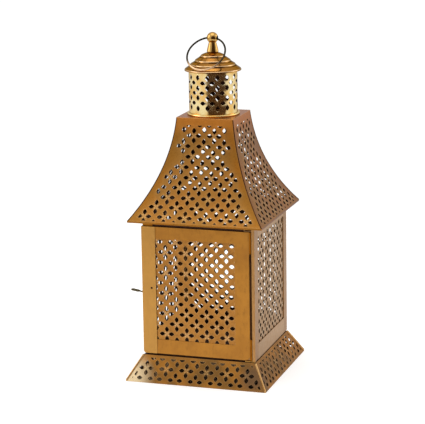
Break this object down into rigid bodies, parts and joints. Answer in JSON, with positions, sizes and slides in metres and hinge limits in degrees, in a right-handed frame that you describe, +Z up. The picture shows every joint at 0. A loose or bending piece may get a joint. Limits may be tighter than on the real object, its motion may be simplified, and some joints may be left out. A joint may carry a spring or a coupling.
{
  "type": "metal lantern",
  "caption": "Square perforated metal lantern with a flared roof, a round chimney and cap, a hinged door with a wire latch, and a carrying ring.",
  "frame": {"origin": "centre of the base's footprint, on the surface it stands on", "axes": "+Z up, the door faces -Y, the door's hinge is on the +X side"},
  "size_m": [0.16, 0.16, 0.3771],
  "materials": {
    "antique_gold": "satin antique gold lacquer on steel sheet",
    "perforated_gold": "satin antique gold lacquer on perforated steel sheet",
    "roof_gold": "satin antique gold lacquer on steel sheet",
    "base_gold": "satin, slightly darker antique gold",
    "inner_sheet": "dull brown gold, mostly in shadow",
    "polished_brass": "polished brass",
    "cap_gold": "burnished copper gold",
    "dark_wire": "dark bronzed wire"
  },
  "bodies": {
    "lantern_body": {"base_skirt_front": "base_gold", "base_skirt_right": "base_gold", "base_skirt_back": "base_gold", "base_skirt_left": "base_gold", "base_hip_strips": "base_gold", "base_bottom_sheet": "inner_sheet", "base_top_plate": "inner_sheet", "floor_tray": "inner_sheet", "post_front_left": "antique_gold", "post_front_right": "antique_gold", "post_back_right": "antique_gold", "post_back_left": "antique_gold", "bottom_rail_right": "antique_gold", "bottom_rail_back": "antique_gold", "bottom_rail_left": "antique_gold", "top_rail_right": "antique_gold", "top_rail_back": "antique_gold", "top_rail_left": "antique_gold", "lintel": "inner_sheet", "wall_mesh_right": "perforated_gold", "wall_mesh_back": "perforated_gold", "wall_mesh_left": "perforated_gold", "hinge_rod": "dark_wire", "hinge_foot_bracket": "antique_gold", "hinge_head_bracket": "antique_gold", "roof_ledge": "inner_sheet", "roof_panel_front": "roof_gold", "roof_panel_right": "roof_gold", "roof_panel_back": "roof_gold", "roof_panel_left": "roof_gold", "roof_top_plate": "roof_gold", "chimney_collar": "polished_brass", "chimney": "polished_brass", "cap": "cap_gold", "finial": "polished_brass", "finial_nut": "dark_wire"},
    "door": {"door_frame": "antique_gold", "door_left_stile": "antique_gold", "door_mesh": "perforated_gold", "door_knuckle_top": "antique_gold", "door_knuckle_bottom": "antique_gold", "stile_rivet": "antique_gold", "latch_eyelet": "antique_gold"},
    "latch": {"latch_wire": "dark_wire"},
    "ring": {"ring": "dark_wire"}
  },
  "joints": [
    {"name": "door_hinge", "type": "hinge", "parent": "lantern_body", "child": "door", "pos_m": [0.0591, -0.0631, 0.1], "axis": [0, 0, 1], "range_deg": [0, 135]},
    {"name": "latch_turn", "type": "hinge", "parent": "door", "child": "latch", "pos_m": [-0.064, -0.0598, 0.0975], "axis": [-1, 0, 0], "range_deg": [0, 90]},
    {"name": "ring_swing", "type": "hinge", "parent": "lantern_body", "child": "ring", "pos_m": [0, 0, 0.3709], "axis": [-0.9945, 0.1045, 0], "range_deg": [0, 270]}
  ]
}
